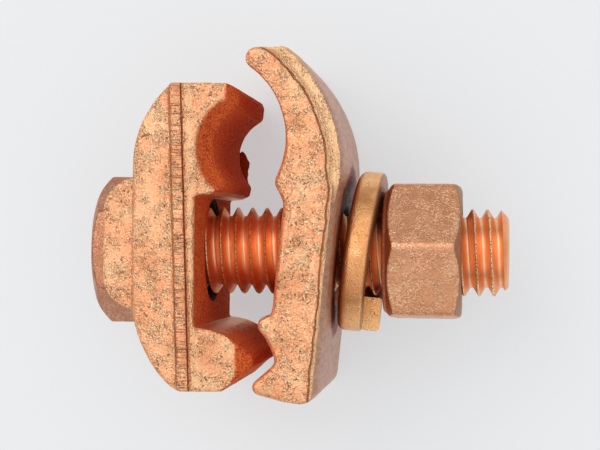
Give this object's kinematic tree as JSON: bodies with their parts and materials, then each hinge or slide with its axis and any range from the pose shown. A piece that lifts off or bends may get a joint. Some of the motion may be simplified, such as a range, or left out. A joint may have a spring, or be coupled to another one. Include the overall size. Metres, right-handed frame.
{
  "type": "parallel groove connector",
  "caption": "Parallel-groove clamp for copper conductors: a fixed jaw and a hooked keeper jaw, drawn together by a hex bolt, a nut and a spring lock washer.",
  "frame": {"origin": "on the axis of the run groove, halfway along it", "axes": "+X runs along the bolt from its head to the nut, +Y from the bolt to the run groove, +Z along both grooves; the connector lies on its side on the two parting ridges"},
  "size_m": [0.044, 0.0363, 0.0248],
  "materials": {
    "jaw_casting": "shot-blasted copper casting",
    "keeper_casting": "shot-blasted copper casting",
    "bolt_bronze": "rolled bronze, satin",
    "washer_bronze": "drawn bronze, satin",
    "nut_bronze": "tumbled bronze, matt"
  },
  "bodies": {
    "body": {"fixed_jaw": "jaw_casting", "hex_bolt": "bolt_bronze"},
    "washer": {"lock_washer": "washer_bronze"},
    "nut": {"hex_nut": "nut_bronze"},
    "keeper": {"keeper_jaw": "keeper_casting"}
  },
  "joints": [
    {"name": "keeper_slide", "type": "slide", "parent": "body", "child": "washer", "axis": [1, 0, 0], "range_m": [-0.00119, 0.00396]},
    {"name": "nut_turn", "type": "hinge", "parent": "washer", "child": "nut", "pos_m": [0.0169, -0.0106, 0], "axis": [1, 0, 0], "range_deg": [-270, 900]},
    {"name": "keeper_rock", "type": "hinge", "parent": "washer", "child": "keeper", "pos_m": [0.00555, -0.0153, 0], "axis": [0, 0, 1], "range_deg": [0, 5.4]}
  ],
  "couplings": [
    {"joint": "nut_turn", "follows": "keeper_slide", "rad_per_m": 3957.9}
  ]
}
